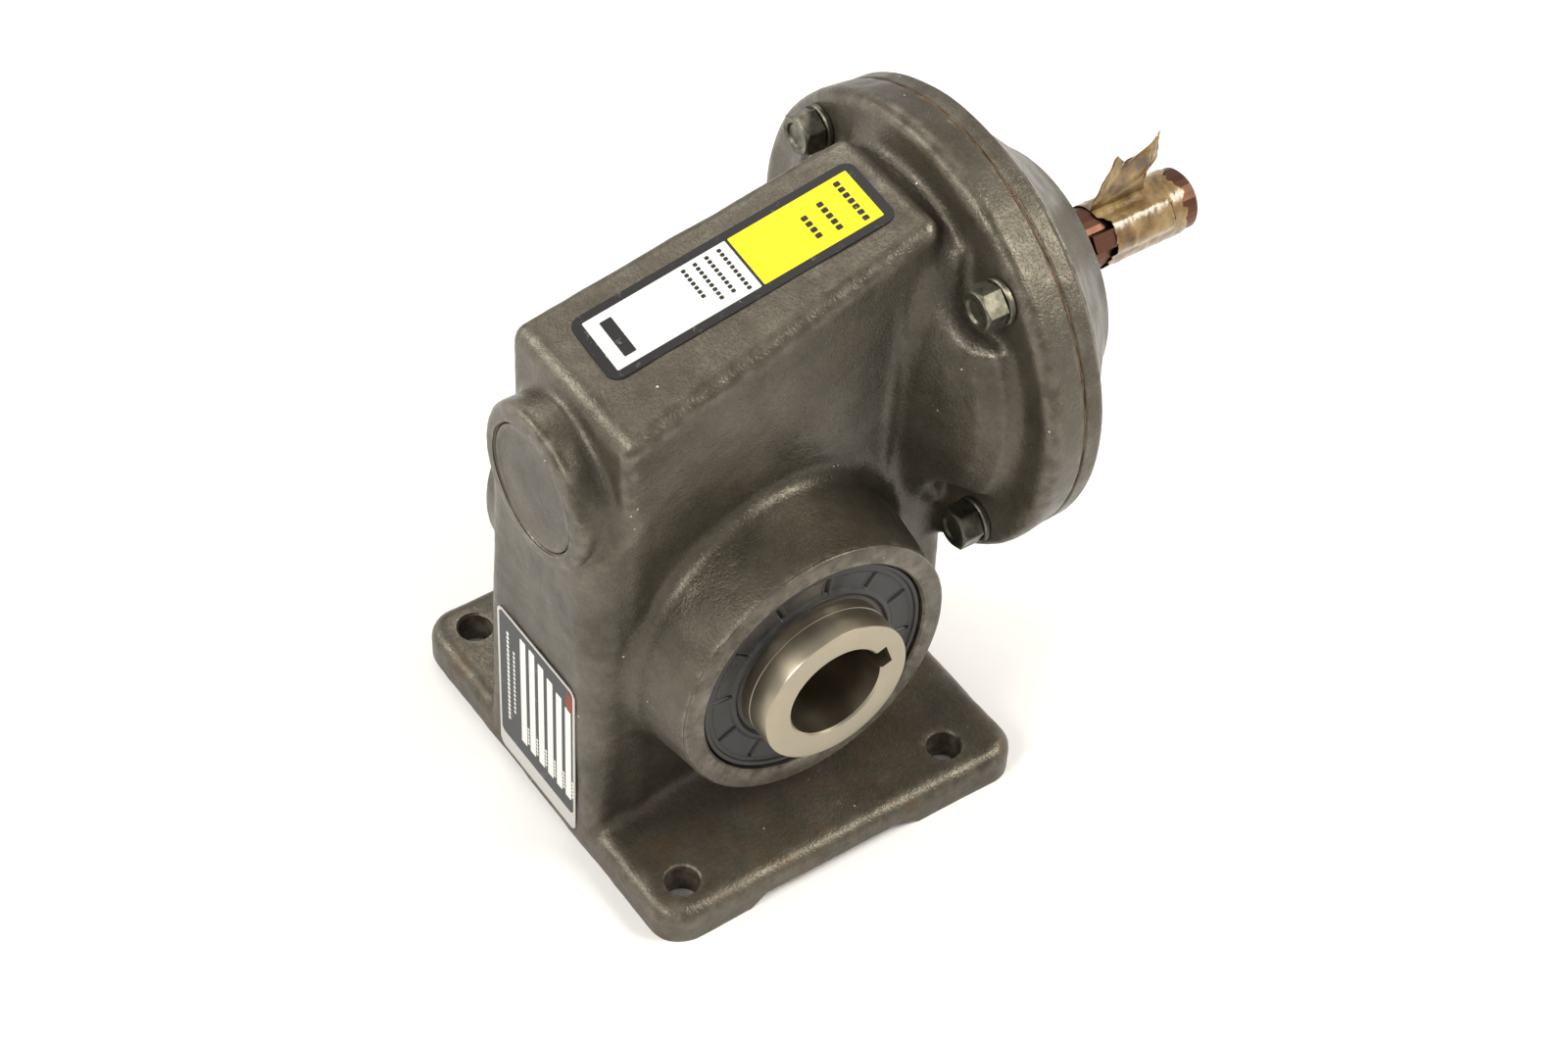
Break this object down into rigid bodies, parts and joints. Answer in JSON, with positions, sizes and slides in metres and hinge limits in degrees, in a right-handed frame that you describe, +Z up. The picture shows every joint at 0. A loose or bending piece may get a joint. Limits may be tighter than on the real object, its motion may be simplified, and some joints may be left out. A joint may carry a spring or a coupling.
{
  "type": "worm gearbox",
  "caption": "Foot-mounted worm gear reducer with a hollow keyed output shaft through the housing and a keyed input shaft at right angles above it.",
  "frame": {"origin": "centre of the four foot holes, on the underside of the foot", "axes": "X along the hollow output shaft, +Y along the worm shaft towards its input end, +Z up from the foot"},
  "size_m": [0.117, 0.1882, 0.1671],
  "materials": {
    "painted_casting": "satin olive-grey paint over a fine sand casting",
    "turned_steel": "fine turned, lightly oiled",
    "plated_fastener": "dull zinc plate",
    "bronze": "machined",
    "seal_rubber": "moulded nitrile rubber, satin",
    "bearing_steel": "ground",
    "gasket_fibre": "pressed fibre",
    "plate_metal": "printed sheet, satin",
    "sticker": "printed vinyl",
    "waxed_paper": "waxed paper, crinkled"
  },
  "bodies": {
    "housing": {"housing": "painted_casting", "input_cover": "painted_casting", "cover_gasket": "gasket_fibre", "flange_bolt_1": "plated_fastener", "flange_bolt_2": "plated_fastener", "flange_bolt_3": "plated_fastener", "flange_bolt_4": "plated_fastener", "flange_washer_1": "plated_fastener", "flange_washer_2": "plated_fastener", "flange_washer_3": "plated_fastener", "flange_washer_4": "plated_fastener", "worm_end_cap": "painted_casting", "nameplate": "plate_metal", "oil_label": "sticker", "fill_plug": "plated_fastener", "drain_plug": "plated_fastener", "output_seal_right": "seal_rubber", "output_seal_left": "seal_rubber", "output_bearing_right_outer": "bearing_steel", "output_bearing_right_balls": "bearing_steel", "output_bearing_left_outer": "bearing_steel", "output_bearing_left_balls": "bearing_steel", "output_circlip_right": "turned_steel", "output_circlip_left": "turned_steel", "rear_bearing_outer": "bearing_steel", "rear_bearing_balls": "bearing_steel", "front_bearing_outer": "bearing_steel", "front_bearing_balls": "bearing_steel", "front_circlip": "turned_steel", "input_seal": "seal_rubber"},
    "output": {"output_shaft": "turned_steel", "worm_wheel": "bronze", "wheel_key": "turned_steel", "wheel_spacer_right": "turned_steel", "wheel_spacer_left": "turned_steel", "output_bearing_right_inner": "bearing_steel", "output_bearing_left_inner": "bearing_steel"},
    "input": {"worm_shaft": "turned_steel", "rear_bearing_inner": "bearing_steel", "front_bearing_inner": "bearing_steel", "input_key": "turned_steel", "shaft_wrap": "waxed_paper"}
  },
  "joints": [
    {"name": "output_spin", "type": "hinge", "parent": "housing", "child": "output", "pos_m": [0, 0, 0.0588], "axis": [1, 0, 0], "continuous": true},
    {"name": "worm_spin", "type": "hinge", "parent": "housing", "child": "input", "pos_m": [0, 0, 0.1088], "axis": [0, 1, 0], "continuous": true}
  ],
  "couplings": [
    {"joint": "worm_spin", "follows": "output_spin", "ratio": 30}
  ]
}
